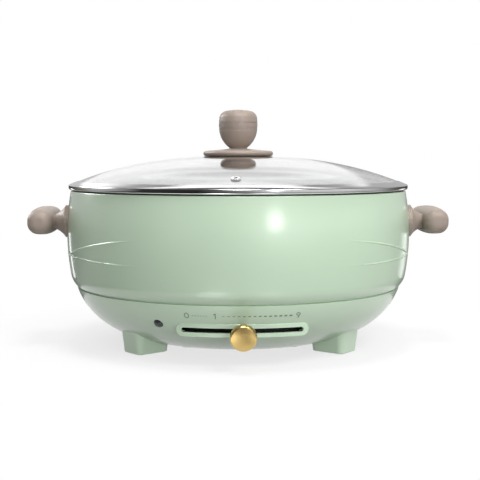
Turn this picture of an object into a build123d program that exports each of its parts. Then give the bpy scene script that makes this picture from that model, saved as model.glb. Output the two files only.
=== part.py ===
"""Electric hot pot with a lift-off glass lid.

Millimetres, +Z up, front along -Y. The origin is on the pot's axis, on the surface that the feet
stand on. The lid lifts along +Z. The brass knob slides in an arc slot about the pot's axis and
turns the thermostat spindle there through a lever.
"""
from build123d import *
from math import asin, atan2, cos, degrees, hypot, radians, sin, sqrt
import os

# ---------------------------------------------------------------- driving dimensions

# Upper body: one large arc with a tighter turn-in above the seam.
waist_radius = 168.9            # widest point of the body
waist_height = 108.0
side_arc_radius = 228.0
turn_in_height = 69.0           # where the side arc hands over to the turn-in
turn_in_radius = 19.0
body_top = 150.2
seam_height = 57.0
wall = 3.0
lip_width = 2.1                 # upstanding lip round the pot's flange
lip_round = 0.9
ledge_drop = 2.7                # ledge under the lip's top; it carries the gasket and the pot
ledge_thickness = 3.0
ledge_clearance = 1.4           # ledge bore round the pot
seam_groove = 0.5
seam_chamfer = 0.4

# Lower body: a quarter ellipse down to a flat bottom.
bowl_inset = 88.1               # centre of the quarter ellipse, in from the waist
bowl_half_width = 81.8
bowl_centre_height = 75.0
bowl_half_height = 68.9
shell_floor = 1.0               # shell floor thicker than the wall
shell_flange_thickness = 3.0    # lower shell's inward flange at the seam
tongue_width = 2.4
tongue_height = 4.0
tongue_clearance = 0.4

# Creases: slim beads in pairs on the sides, which sink into the skin towards the front and back.
crease_start = 17.0             # azimuth off the X axis where a pair meets
crease_end = 57.0
crease_meet_height = 91.0
crease_low_height = 88.8        # lower crease, from its middle on
crease_middle_height = 103.2    # upper crease in its middle
crease_high_height = 110.8      # and at its end
crease_radius = 1.1
crease_stand = 0.9              # of the bead above the skin where the pair meets
crease_middle_stand = 0.65

# Feet, moulded with the lower shell.
foot_azimuth = 38.0             # from the X axis
foot_reach = 48.7               # outer face beyond the centre of the quarter ellipse
foot_length = 34.0              # radial
foot_width = 27.0
foot_corner = 5.0
foot_taper = 7.0
foot_top = 31.0
foot_bottom = 0.8
foot_edge_round = 1.4
foot_pad_radius = 9.0
foot_pad_thickness = 3.4

# Slot, its raised pad and the slider.
slot_height = 33.8
slot_length = 106.2
slot_width = 4.1
slot_margin = 4.7               # pad beyond the slot's ends
pad_stand = 4.8                 # pad's face above the bowl at the slot
pad_width = 12.4
pad_wall = 3.0
pad_edge_round = 1.0
shutter_setback = 13.2          # shutter behind the pad's face
shutter_thickness = 1.2
shutter_width = 7.4
shutter_rise = 0.3              # shutter's middle above the slot's
shutter_half_angle = 40.0
pocket_clearance = 8.0          # free depth behind the shutter
pocket_ease = 1.0               # pocket beyond the pad's wall, up and down
stem_tilt = 8.0                 # the stem points a little down
stem_width = 6.0
stem_thickness = 2.4
knob_radius = 11.5
knob_thickness = 6.0
knob_standoff = 16.0            # pad face to the back of the knob, along the stem
knob_boss_radius = 4.6
knob_socket_depth = 3.0
knob_edge_round = 2.2
knob_back_round = 0.8
knob_crown = 0.9
knob_boss_gap = 1.1             # boss off the pad

# Indicator.
lens_azimuth = -119.4
lens_height = 37.4
lens_radius = 4.4
lens_shoulder = 0.2             # where the lens starts to curve, above the skin
lens_dome = 2.4                 # its middle above the skin
lens_clearance = 0.06
lens_flange = 1.1
lens_boss_wall = 1.8
lamp_length = 12.0
lamp_hollow = 3.0

# Inner pot.
pot_floor_rise = 5.5            # inside floor above the seam
pot_floor_thickness = 4.5
pot_wall = 2.6
pot_taper = 17.0                # mouth radius less floor radius
pot_corner = 24.0
flange_side_gap = 0.46          # flange inside the body's lip
pot_flange_width = 11.4
pot_flange_thickness = 2.1
gasket_thickness = 1.5
gasket_margin = 0.4
gasket_setback = 1.0            # gasket off the ledge's bore

# Lid.
lid_gap = 0.3                   # rim ring above the pot's flange
ring_overhang = 2.04            # ring outside the body's lip
ring_height = 5.8
ring_sheet = 0.6
ring_lip_width = 8.4            # of the ring over the glass
skirt_clearance = 1.3           # skirt inside the pot's mouth
ring_skirt_depth = 4.9
ring_corner = 1.6
glass_gap = 0.2
glass_thickness = 3.8
dome_rise = 28.3
dome_fullness = 2.5             # 2 is a plain bowl, higher is flatter in the middle
glass_bore_radius = 4.5
vent_setback = 24.0             # vent in from the ring's edge
vent_azimuth = -92.3
vent_flange_radius = 4.25
vent_barrel_radius = 2.8
vent_bore_radius = 1.7
vent_flange_thickness = 0.6

# Lid knob stack.
collar_radius = 34.7
collar_sink = 0.3               # collar's edge below the top of the dome
collar_edge = 5.2
collar_shoulder = 1.1
collar_height = 8.2
collar_recess_radius = 31.0
collar_recess_depth = 1.8
neck_radius = 8.7
neck_flare = 2.0
seal_radius = 14.0
seal_thickness = 1.0
cup_radius = 18.0
cup_height = 5.9
cup_counterbore_radius = 8.6
grip_height = 37.6
grip_radius = 19.2
grip_hip_depth = 20.2           # widest stretch, from its lower end below the knob's top
grip_shoulder_depth = 7.2       # to its upper end
grip_hip_setback = 0.4
grip_shoulder_setback = 0.6
grip_top_setback = 8.0
grip_flare = (3.7, 7.4)         # a point under the hip: inside the grip's radius, above the collar
grip_bend = (3.2, 4.2)          # a point over the shoulder: inside the radius, above the shoulder
grip_groove_depths = (12.8, 17.8, 21.2)   # below the knob's top
grip_groove_depth = 0.55
grip_groove_width = 0.9
grip_crown = 0.9
crown_flat = 0.6                # small flat in the middle of a turned crown
insert_radius = 4.0
insert_length = 13.0
insert_sink = 2.0               # into the collar
insert_room = 1.0               # over the insert
lid_screw_radius = 2.5
lid_screw_head_radius = 4.6
lid_screw_head_height = 2.8
washer_radius = 7.5
washer_thickness = 1.0

# Side handles.
handle_height = 120.5
handle_reach = 23.1             # grip axis outside the waist
grip_size = 27.0                # grip across, in its middle
grip_end_size = 21.6
grip_half_length = 43.0
grip_corner_share = 0.44        # corner round over the grip's size
grip_end_round = 8.6
handle_leg_spacing = 44.0
handle_neck_radius = 5.7
handle_flare_radius = 15.6
handle_flare_setback = 0.6      # flare's rim inside the waist
handle_flare_bend = (5.2, 10.05)    # a point on the flare: out from its rim, and its radius
handle_root = 14.0              # leg inside its flare's rim, before the shell's skin cuts it
handle_screw_radius = 2.0
handle_screw_length = 20.0
handle_screw_head = 2.2
handle_boss_radius = 6.5
handle_boss_setback = 11.3      # boss face inside the waist
screw_clearance = 0.15

# Heating and control.
element_inset = 58.0            # ring of the element in from the pot's floor edge
element_tube_radius = 4.0
element_gap_angle = 40.0
element_bend_radius = 5.5
element_leg_drop = 20.0         # cold legs below the pot
element_leg_clearance = 1.0
element_boss_width = 18.0
element_boss_depth = 4.0
shield_drop = 9.0               # shield below the pot
shield_inset = 16.0             # shield's rim in from the pot's floor edge
shield_thickness = 1.0
shield_rim_height = 7.0
shield_bore_radius = 36.0
centre_boss_radius = 34.0
centre_boss_depth = 4.0
bracket_length = 62.0
bracket_width = 22.0
bracket_corner = 5.0
bracket_thickness = 1.5
bracket_screw_offset = 24.0
bracket_screw_radius = 2.0
bracket_screw_head = 2.0
thermostat_radius = 17.0
thermostat_height = 12.0
thermostat_round = 1.5
tab_size = (6.3, 12.0, 0.8)
tab_spacing = 14.0
tab_height = 5.0
tab_reach = 8.0                 # of a tab beyond the thermostat
bush_radius = 5.0
bush_height = 2.5
spindle_radius = 3.0
spindle_clearance = 0.05
spindle_insertion = 8.0
spindle_end_play = 1.0
spindle_tail = 2.6              # spindle below the hub
hub_radius = 9.0
hub_height = 5.6
hub_drop = 2.2                  # hub's bottom below the slot
lever_thickness = 2.0
lever_width = 12.0
lever_tip_width = 8.0
lever_clearance = 0.4           # arm off the shutter
clip_radius = 5.5
clip_thickness = 0.8
groove_radius = 2.3
fuse_radius = 3.5
fuse_length = 24.0
fuse_inset = 26.0               # fuse in from the element's ring
strap_thickness = 0.8
strap_width = 8.0
terminal_block_size = (34.0, 18.0, 11.0)
terminal_block_offset = 3.0     # outside the studs' circle
terminal_pitch = 10.0
terminal_bore_radius = 2.2

# Studs that pull the pot down and hold the shells together.
stud_azimuths = (60.0, 120.0, 240.0, 300.0)
stud_offset = 19.0              # studs outside the element's ring
stud_radius = 2.5
stud_tail = 0.8
stud_boss_radius = 7.0
stud_post_height = 16.0         # post above the base plate
nut_flats = 8.0
nut_height = 4.0
nut_seat_height = 6.5           # nut's seat above the base plate
nut_bore_radius = 6.0

# Base plate.
plate_inset = 2.3               # plate's edge inside the flat of the bottom
plate_thickness = 2.0
plate_ledge_width = 9.0
plate_screw_inset = 4.5
plate_screw_count = 6
plate_screw_radius = 1.5
plate_screw_length = 9.0
plate_screw_head = 1.2
plate_boss_radius = 4.0
plate_boss_height = 8.0
vent_slot_width = 3.0
vent_slot_length = 22.0
vent_slot_count = 16
vent_slot_circle = 48.0

# Power inlet at the back.
inlet_height = 82.0
inlet_stand = 1.3               # bezel's face outside the waist
inlet_flange_size = (40.0, 30.0)
inlet_flange_depth = 10.0
inlet_flange_round = 1.0
inlet_body_size = (28.0, 21.0)
inlet_recess_size = (24.0, 17.0)
inlet_corner = 3.0
inlet_body_depth = 21.0
inlet_body_setback = 1.2
inlet_recess_depth = 17.0
inlet_mouth_depth = 5.0         # pin tips below the face
inlet_tab_length = 5.0
inlet_pin_size = (2.0, 4.0)
inlet_pin_pitch = 14.0
inlet_pin_lift = 2.0            # middle pin up, outer pins down

BASE = (Align.CENTER, Align.CENTER, Align.MIN)
FRONT = -90.0
BACK = 90.0

# ---------------------------------------------------------------- skin formulas


def side_arc_centre():
    return waist_radius - side_arc_radius, waist_height


def body_radius(height, inset=0.0):
    """Radius of the upper body's side arc at a height."""
    centre, level = side_arc_centre()
    return centre + sqrt((side_arc_radius - inset) ** 2 - (height - level) ** 2)


def bowl_radius(height, inset=0.0):
    """Radius of the lower body's ellipse at a height."""
    share = (height - bowl_centre_height) / (bowl_half_height - inset)
    return bowl_centre_radius + (bowl_half_width - inset) * sqrt(1 - share**2)


def seam_radius(inset=0.0):
    """Radius of the upper body's skin at the seam."""
    centre, level = side_arc_centre()
    fall = asin((waist_height - turn_in_height) / side_arc_radius)
    reach = side_arc_radius - turn_in_radius
    middle = level - reach * sin(fall)
    return centre + reach * cos(fall) + sqrt((turn_in_radius - inset) ** 2 - (middle - seam_height) ** 2)


# ---------------------------------------------------------------- worked-out dimensions

bowl_centre_radius = waist_radius - bowl_inset
body_bottom = bowl_centre_height - bowl_half_height
plate_top = body_bottom + plate_thickness
shell_inside = body_bottom + wall + shell_floor
ledge_top = body_top - ledge_drop
lip_inside = body_radius(body_top) - lip_width

# pot
pot_floor = seam_height + pot_floor_rise
pot_underside = pot_floor - pot_floor_thickness
pot_flange_radius = lip_inside - flange_side_gap
pot_mouth_radius = pot_flange_radius - pot_flange_width
pot_floor_radius = pot_mouth_radius - pot_taper
ledge_bore_radius = pot_mouth_radius + pot_wall + ledge_clearance
gasket_inner = ledge_bore_radius + gasket_setback
flange_top = ledge_top + gasket_thickness + pot_flange_thickness

# lid
ring_bottom = flange_top + lid_gap
ring_radius = body_radius(body_top) + ring_overhang
ring_skirt_radius = pot_mouth_radius - skirt_clearance
glass_edge_radius = ring_radius - ring_sheet - glass_gap
glass_edge_top = ring_bottom + ring_sheet + glass_thickness
glass_top = glass_edge_top + dome_rise
vent_radius = ring_radius - vent_setback
collar_bottom = glass_top - collar_sink
collar_edge_top = collar_bottom + collar_edge
collar_top = collar_bottom + collar_height
grip_top = collar_top + grip_height
cup_top = glass_top - glass_thickness - seal_thickness
washer_top = cup_top - cup_height / 2 + washer_thickness / 2

# heating and control
element_radius = pot_floor_radius - element_inset
shield_radius = pot_floor_radius - shield_inset
shield_top = pot_underside - shield_drop
shield_bottom = shield_top - shield_thickness
thermostat_top = pot_underside - centre_boss_depth - bracket_thickness
thermostat_bottom = thermostat_top - thermostat_height
hub_bottom = slot_height - hub_drop
lever_top = hub_bottom + hub_height
element_leg_end = pot_underside - element_leg_drop
spindle_bottom = hub_bottom - spindle_tail
fuse_offset = element_radius - fuse_inset
stud_circle = element_radius + stud_offset
nut_seat = plate_top + nut_seat_height

# outside
foot_outer_radius = bowl_centre_radius + foot_reach
foot_centre_radius = foot_outer_radius - foot_length / 2
pad_length = slot_length + 2 * slot_margin
pad_face_radius = bowl_radius(slot_height) + pad_stand
shutter_radius = pad_face_radius - shutter_setback
plate_radius = bowl_centre_radius - plate_inset
plate_screw_circle = plate_radius - plate_screw_inset
handle_grip_axis = waist_radius + handle_reach
handle_flare_start = waist_radius - handle_flare_setback
handle_boss_face = waist_radius - handle_boss_setback
inlet_face = waist_radius + inlet_stand
inlet_inner = inlet_face - inlet_body_depth

# ---------------------------------------------------------------- helpers


def disc(radius, bottom, top):
    """Upright cylinder on the pot's axis."""
    return Pos(0, 0, bottom) * Cylinder(radius, top - bottom, align=BASE)


def tube(outer, inner, bottom, top):
    """Upright ring on the pot's axis."""
    return disc(outer, bottom, top) - disc(inner, bottom, top)


def band(inner, outer, bottom, top):
    """Rectangle in the half section, by radius and height."""
    return Pos((inner + outer) / 2, (bottom + top) / 2) * Rectangle(outer - inner, top - bottom)


def turn(face):
    """Solid of revolution about the pot's axis from a half section."""
    return revolve(Plane.XZ * face, axis=Axis.Z)


def outline(*points):
    """Straight-sided face through the points."""
    return make_face(Polyline(*points, close=True))


def at_azimuth(azimuth, piece):
    """Piece drawn along +X, swung to an azimuth."""
    return Rot(0, 0, azimuth) * piece


def corner_arc(start, end, centre):
    """Quarter-round from start to end about a centre."""
    away = ((start[0] + end[0]) / 2 - centre[0], (start[1] + end[1]) / 2 - centre[1])
    radius = hypot(start[0] - centre[0], start[1] - centre[1])
    scale = radius / hypot(*away)
    return ThreePointArc(start, (centre[0] + away[0] * scale, centre[1] + away[1] * scale), end)


def joined(pieces):
    """One shape from several solids."""
    whole = pieces[0]
    for piece in pieces[1:]:
        whole = whole + piece
    return whole


def sector(radius, half_angle, bottom, top):
    """Wedge of a disc, centred on +X, for cutting arcs."""
    reach = radius / cos(radians(half_angle) / 2)
    points = [(0, 0)]
    for share in (-1, -0.5, 0, 0.5, 1):
        angle = radians(half_angle * share)
        points.append((reach * cos(angle), reach * sin(angle)))
    return Pos(0, 0, bottom) * extrude(outline(*points), top - bottom)


def glass_surface(radius):
    """Height of the glass dome's upper face at a radius."""
    drop = glass_top - glass_edge_top
    return glass_top - drop * (radius / glass_edge_radius) ** dome_fullness


def upper_face(inset, top):
    """Half section of the upper body, drawn inside its skin, from the seam to a height."""
    centre, level = side_arc_centre()
    arc = side_arc_radius - inset
    fall = asin((waist_height - turn_in_height) / side_arc_radius)
    knee = (centre + arc * cos(fall), level - arc * sin(fall))
    turn_centre = (
        centre + (side_arc_radius - turn_in_radius) * cos(fall),
        level - (side_arc_radius - turn_in_radius) * sin(fall),
    )
    small = turn_in_radius - inset
    seam_fall = asin((turn_centre[1] - seam_height) / small)
    middle_fall = (fall + seam_fall) / 2
    middle = (turn_centre[0] + small * cos(middle_fall), turn_centre[1] - small * sin(middle_fall))
    foot = (turn_centre[0] + small * cos(seam_fall), seam_height)
    crown = (body_radius(top, inset), top)
    waist = (waist_radius - inset, waist_height)
    side = ThreePointArc(crown, waist, knee) + ThreePointArc(knee, middle, foot)
    return make_face(side + Polyline(foot, (0, seam_height), (0, top), crown))


def bowl_face(inset, bottom, top):
    """Half section of the lower body, drawn inside its skin."""
    oval = Ellipse(bowl_half_width - inset, bowl_half_height - inset)
    outer = Pos(bowl_centre_radius, bowl_centre_height) * oval
    reach = bowl_centre_radius + bowl_half_width
    return (outer & band(bowl_centre_radius, reach, bottom, top)) + band(
        0, bowl_centre_radius, bottom, top
    )


# ---------------------------------------------------------------- shells


def crease_point(azimuth, height, stand):
    """Middle of a crease's bead at an azimuth off +X towards the front."""
    radius = body_radius(height) + stand - crease_radius
    swing = radians(azimuth)
    return Vector(radius * cos(swing), -radius * sin(swing), height)


def crease_bead(middle_height, end_height):
    """Bead from the point where a pair meets to where it has sunk into the skin."""
    path = ThreePointArc(
        crease_point(crease_start, crease_meet_height, crease_stand),
        crease_point((crease_start + crease_end) / 2, middle_height, crease_middle_stand),
        crease_point(crease_end, end_height, 0),
    )
    section = Plane(origin=path @ 0, z_dir=path % 0) * Circle(crease_radius)
    return sweep(section, path=path)


def creases():
    """The four pairs of beads, one level and one rising."""
    pair = [
        crease_bead(crease_low_height, crease_low_height),
        crease_bead(crease_middle_height, crease_high_height),
    ]
    beads = []
    for bead in pair:
        sides = [bead, mirror(bead, Plane.YZ)]
        beads += sides + [mirror(side, Plane.XZ) for side in sides]
    return beads


def upper_shell():
    """Upper casing, with the ledge for the pot, the creases and the handle bosses."""
    skin = turn(upper_face(0, body_top))
    for bead in creases():
        skin = skin + bead
    ledge_bottom = ledge_top - ledge_thickness
    cavity = turn(upper_face(wall, ledge_bottom))
    shell = skin - cavity
    for side in (0, 180):
        for offset in (-handle_leg_spacing / 2, handle_leg_spacing / 2):
            boss = Plane.YZ.offset(handle_boss_face) * Circle(handle_boss_radius)
            post = Pos(0, offset, handle_height) * extrude(boss, waist_radius - handle_boss_face)
            post = post & turn(upper_face(wall / 2, body_top - wall))
            shell = shell + at_azimuth(side, post)
    shell = shell - disc(ledge_bore_radius, ledge_bottom - 1, body_top + 1)
    shell = shell - disc(lip_inside, ledge_top, body_top + 1)
    rim = shell.edges().filter_by(GeomType.CIRCLE).group_by(Axis.Z)[-1]
    shell = fillet(rim, lip_round)
    edge = seam_radius()
    shell = shell - turn(
        outline(
            (edge - seam_groove, seam_height),
            (edge + seam_groove, seam_height),
            (edge + seam_groove, seam_height + 2 * seam_groove),
        )
    )
    shell = shell - inlet_block(inlet_body_size, inlet_inner, inlet_face, screw_clearance)
    for side in (0, 180):
        for offset in (-handle_leg_spacing / 2, handle_leg_spacing / 2):
            hole = Plane.YZ.offset(handle_boss_face - 1) * Circle(handle_screw_radius + screw_clearance)
            bore = Pos(0, offset, handle_height) * extrude(hole, waist_radius - handle_boss_face + 5)
            shell = shell - at_azimuth(side, bore)
    return shell


def foot():
    """One foot along +X, from its tread up into the bowl."""
    tread = Pos(foot_centre_radius, 0, foot_bottom) * RectangleRounded(
        foot_length, foot_width, foot_corner
    )
    block = extrude(tread, foot_top - foot_bottom, taper=-foot_taper)
    block = fillet(block.edges().group_by(Axis.Z)[0], foot_edge_round)
    pocket = Pos(foot_centre_radius, 0, 0) * disc(
        foot_pad_radius, foot_bottom - 1, foot_pad_thickness
    )
    return block - pocket


def foot_azimuths():
    return (foot_azimuth, 180 - foot_azimuth, 180 + foot_azimuth, -foot_azimuth)


def slot_pad():
    """Raised pad round the slot, drawn along +X."""
    start = shutter_radius - 2 * pocket_clearance
    plan = Plane.YZ.offset(start) * SlotOverall(pad_length, pad_width)
    block = Pos(0, 0, slot_height) * extrude(plan, pad_face_radius + pad_wall - start)
    pad = block & disc(pad_face_radius, slot_height - pad_width, slot_height + pad_width)
    face = pad.faces().filter_by(GeomType.CYLINDER).sort_by(Axis.X)[-1]
    return fillet(face.edges(), pad_edge_round)


def lower_shell():
    """Lower casing with its feet, the slot pad, the nut posts and the seat of the base plate."""
    shell = turn(bowl_face(0, body_bottom, seam_height))
    for azimuth in foot_azimuths():
        shell = shell + at_azimuth(azimuth, foot())
    shell = shell + at_azimuth(FRONT, slot_pad())
    shell = shell - turn(bowl_face(wall, shell_inside, seam_height - shell_flange_thickness))
    tongue_outer = seam_radius(wall) - tongue_clearance
    tongue_inner = tongue_outer - tongue_width
    shell = shell - disc(tongue_inner, seam_height - shell_flange_thickness - 1, seam_height + 1)
    shell = shell + tube(
        tongue_outer, tongue_inner, seam_height - shell_flange_thickness / 2, seam_height + tongue_height
    )
    rim = bowl_radius(seam_height)
    shell = shell - turn(
        outline(
            (seam_radius() - seam_groove, seam_height),
            (rim + 1, seam_height),
            (rim + 1, seam_height - seam_groove - seam_chamfer),
            (rim - 0.1, seam_height - seam_groove),
        )
    )
    # pocket behind the pad, then the slot itself
    pocket_half = degrees(asin((pad_length / 2 - pad_wall) / pad_face_radius))
    pocket_half_width = pad_width / 2 - pad_wall + pocket_ease
    pocket_inner = shutter_radius - pocket_clearance
    pocket = sector(pad_face_radius, pocket_half, slot_height - pocket_half_width, slot_height + pocket_half_width)
    pocket = pocket & tube(pad_face_radius - pad_wall, pocket_inner, 0, seam_height)
    slot = Plane.YZ.offset(pocket_inner) * SlotOverall(slot_length, slot_width)
    cuts = pocket + Pos(0, 0, slot_height) * extrude(slot, pad_face_radius + pad_wall - pocket_inner)
    shell = shell - at_azimuth(FRONT, cuts)
    # posts for the stud nuts
    for azimuth in stud_azimuths:
        post_top = plate_top + stud_post_height
        post = Pos(stud_circle, 0, 0) * disc(stud_boss_radius, plate_top, post_top)
        bore = Pos(stud_circle, 0, 0) * (
            disc(stud_radius + screw_clearance, 0, post_top + 1) + disc(nut_bore_radius, 0, nut_seat)
        )
        shell = shell + at_azimuth(azimuth, post)
        shell = shell - at_azimuth(azimuth, bore)
    # seat and bosses of the base plate
    shell = shell - disc(plate_radius + screw_clearance, body_bottom - 1, plate_top)
    shell = shell - disc(plate_radius - plate_ledge_width, body_bottom - 1, shell_inside + 1)
    for azimuth in plate_screw_azimuths():
        boss = Pos(plate_screw_circle, 0, 0) * disc(plate_boss_radius, plate_top, plate_top + plate_boss_height)
        hole = Pos(plate_screw_circle, 0, 0) * disc(plate_screw_radius, plate_top - 1, plate_top + plate_boss_height)
        shell = shell + at_azimuth(azimuth, boss)
        shell = shell - at_azimuth(azimuth, hole)
    # lens bore in its boss
    boss = Pos(0, 0, -wall - lens_boss_depth()) * Cylinder(
        lens_radius + lens_flange + lens_boss_wall, lens_boss_depth() + wall / 2, align=BASE
    )
    shell = shell + lens_place() * boss
    bore = Pos(0, 0, -wall - lens_boss_depth() - 1) * Cylinder(
        lens_radius + lens_flange + lens_clearance, lens_boss_depth() + 1, align=BASE
    )
    bore = bore + Cylinder(lens_radius + lens_clearance, 4 * wall)
    return shell - lens_place() * bore


def lens_boss_depth():
    return 2 * lens_flange + 2 * lens_clearance + lens_boss_wall


def lens_place():
    """Location on the bowl's skin, with local +Z pointing straight out."""
    share = (lens_height - bowl_centre_height) / bowl_half_height
    across = sqrt(1 - share**2) / bowl_half_width
    along = share / bowl_half_height
    lean = degrees(atan2(across, along))
    return Rot(0, 0, lens_azimuth) * Pos(bowl_radius(lens_height), 0, lens_height) * Rot(0, lean, 0)


def plate_screw_azimuths():
    return [360 / plate_screw_count * index for index in range(plate_screw_count)]


def foot_pads():
    """Rubber pads in the feet."""
    pad = Pos(foot_centre_radius, 0, 0) * disc(foot_pad_radius, 0, foot_pad_thickness)
    return joined([at_azimuth(azimuth, pad) for azimuth in foot_azimuths()])


def base_plate():
    """Vented plate that closes the bottom."""
    plate = disc(plate_radius, body_bottom, plate_top)
    slot = Pos(vent_slot_circle, 0, body_bottom - 1) * extrude(
        SlotOverall(vent_slot_length, vent_slot_width), plate_thickness + 2
    )
    for index in range(vent_slot_count):
        plate = plate - at_azimuth(360 / vent_slot_count * index, slot)
    for azimuth in plate_screw_azimuths():
        hole = disc(plate_screw_radius + screw_clearance, body_bottom - 1, plate_top + 1)
        plate = plate - at_azimuth(azimuth, Pos(plate_screw_circle, 0, 0) * hole)
    return plate


def base_screws():
    screw = disc(plate_screw_radius, body_bottom, body_bottom + plate_screw_length)
    screw = screw + disc(2 * plate_screw_radius, body_bottom - plate_screw_head, body_bottom)
    screw = Pos(plate_screw_circle, 0, 0) * screw
    return joined([at_azimuth(azimuth, screw) for azimuth in plate_screw_azimuths()])


def indicator_lens():
    """Domed smoked lens that snaps in from inside."""
    rim = lens_radius + lens_flange
    bend = (lens_radius * cos(radians(45)), lens_shoulder + (lens_dome - lens_shoulder) * sin(radians(45)))
    side = Polyline(
        (0, lens_dome), (0, -wall - lens_flange), (rim, -wall - lens_flange), (rim, -wall),
        (lens_radius, -wall), (lens_radius, lens_shoulder),
    )
    side = side + ThreePointArc((lens_radius, lens_shoulder), bend, (crown_flat, lens_dome))
    side = side + Line((crown_flat, lens_dome), (0, lens_dome))
    return lens_place() * turn(make_face(side))


def indicator_lamp():
    """Neon lamp in its sleeve, behind the lens."""
    start = -wall - lens_flange
    mouth = start - lamp_hollow
    sleeve = disc(lens_radius + lens_flange, start - lamp_length, start)
    sleeve = sleeve - disc(lens_radius - lens_flange, mouth, start + 1)
    bulb = disc(lens_radius / 2, mouth, mouth + lamp_hollow * 0.8)
    return lens_place() * (sleeve + bulb)


# ---------------------------------------------------------------- pot and lid


def pot_face(offset, floor, top):
    """Half section of the pot's inside, or of its outside with an offset."""
    lean = (pot_mouth_radius - pot_floor_radius) / (flange_top - pot_floor)
    bottom_radius = pot_floor_radius + offset - lean * (pot_floor - floor)
    top_radius = pot_mouth_radius + offset + lean * (top - flange_top)
    face = outline((0, floor), (bottom_radius, floor), (top_radius, top), (0, top))
    corner = face.vertices().filter_by(lambda v: v.X > 1 and abs(v.Y - floor) < 0.01)
    return fillet(corner, pot_corner + offset)


def inner_pot():
    """Die-cast pot with its flange, heater boss, thermostat boss and stud bosses."""
    flange_bottom = flange_top - pot_flange_thickness
    pot = turn(pot_face(pot_wall, pot_underside, flange_top))
    pot = pot + disc(pot_flange_radius, flange_bottom, flange_top)
    ring_middle = element_boss_width / 2
    pot = pot + tube(
        element_radius + ring_middle, element_radius - ring_middle, pot_underside - element_boss_depth, pot_underside + 1
    )
    pot = pot + disc(centre_boss_radius, pot_underside - centre_boss_depth, pot_underside + 1)
    for azimuth in stud_azimuths:
        boss = Pos(stud_circle, 0, 0) * disc(stud_boss_radius, shield_top, pot_underside + 1)
        pot = pot + at_azimuth(azimuth, boss)
    pot = pot - turn(pot_face(0, pot_floor, flange_top))
    groove = element_section()
    pot = pot - revolve(groove, axis=Axis.Z)
    for azimuth in stud_azimuths:
        hole = Pos(stud_circle, 0, 0) * disc(stud_radius, shield_top - 1, pot_underside)
        pot = pot - at_azimuth(azimuth, hole)
    for side in (-1, 1):
        pot = pot - Pos(side * bracket_screw_offset, 0, 0) * disc(
            bracket_screw_radius, pot_underside - centre_boss_depth - 1, pot_underside
        )
    return pot


def element_section():
    level = pot_underside - element_boss_depth
    return Plane.XZ * (Pos(element_radius, level) * Circle(element_tube_radius))


def heating_element():
    """Horseshoe tube with two cold legs that turn down through the shield."""
    sweep_angle = 360 - element_gap_angle
    start = BACK + element_gap_angle / 2
    arc = revolve(element_section(), axis=Axis.Z, revolution_arc=sweep_angle)
    tube_body = Rot(0, 0, start) * arc
    level = pot_underside - element_boss_depth
    leg_section = Circle(element_tube_radius)
    for azimuth, way in ((start, -1), (start + sweep_angle, 1)):
        centre = Axis((element_radius, 0, level - element_bend_radius), (-way, 0, 0))
        bend = revolve(element_section(), axis=centre, revolution_arc=90)
        leg_top = level - element_bend_radius
        leg = Pos(element_radius, way * element_bend_radius, element_leg_end) * extrude(
            leg_section, leg_top - element_leg_end
        )
        tube_body = tube_body + at_azimuth(azimuth, bend + leg)
    return tube_body


def heat_shield():
    """Sheet dish that keeps the heat off the lower shell."""
    shield = disc(shield_radius, shield_bottom, shield_top)
    shield = shield + tube(
        shield_radius, shield_radius - shield_thickness, shield_bottom, shield_bottom + shield_rim_height
    )
    shield = shield - disc(shield_bore_radius, shield_bottom - 1, shield_top + 1)
    for azimuth in stud_azimuths:
        hole = Pos(stud_circle, 0, 0) * disc(stud_radius + screw_clearance, shield_bottom - 1, shield_top + 1)
        shield = shield - at_azimuth(azimuth, hole)
    for way in (-1, 1):
        azimuth = BACK - way * element_gap_angle / 2
        hole = Pos(element_radius, way * element_bend_radius, 0) * disc(
            element_tube_radius + element_leg_clearance, shield_bottom - 1, shield_top + 1
        )
        shield = shield - at_azimuth(azimuth, hole)
    return shield


def pot_studs():
    stud = Pos(stud_circle, 0, 0) * disc(stud_radius, nut_seat - nut_height - stud_tail, pot_underside)
    return joined([at_azimuth(azimuth, stud) for azimuth in stud_azimuths])


def nut(bottom):
    blank = extrude(RegularPolygon(nut_flats / 2, 6, major_radius=False), nut_height)
    return Pos(stud_circle, 0, bottom) * (blank - disc(stud_radius, -1, nut_height + 1))


def stud_nuts():
    return joined([at_azimuth(azimuth, nut(nut_seat - nut_height)) for azimuth in stud_azimuths])


def shield_nuts():
    return joined([at_azimuth(azimuth, nut(shield_bottom - nut_height)) for azimuth in stud_azimuths])


def pot_gasket():
    return tube(pot_flange_radius - gasket_margin, gasket_inner, ledge_top, ledge_top + gasket_thickness)


def lid_glass():
    """Pressed dome, flatter in the middle, with bores for the knob screw and the vent."""
    shares = (0.2, 0.4, 0.6, 0.8, 1.0)
    top_points = [(glass_bore_radius, glass_surface(glass_bore_radius))]
    for share in shares:
        radius = glass_edge_radius * share
        top_points.append((radius, glass_surface(radius)))
    low_points = [(radius, height - glass_thickness) for radius, height in top_points]
    upper = Spline(*top_points)
    lower = Spline(*low_points)
    ends = Line(top_points[0], low_points[0]) + Line(top_points[-1], low_points[-1])
    glass = turn(make_face(upper + lower + ends))
    return glass - vent_place() * Cylinder(vent_barrel_radius, 6 * glass_thickness)


def vent_place():
    """Location on the glass, with local +Z square to it."""
    step = 0.5
    fall = glass_surface(vent_radius - step) - glass_surface(vent_radius + step)
    lean = degrees(atan2(fall, 2 * step))
    return Rot(0, 0, vent_azimuth) * Pos(vent_radius, 0, glass_surface(vent_radius)) * Rot(0, lean, 0)


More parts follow.
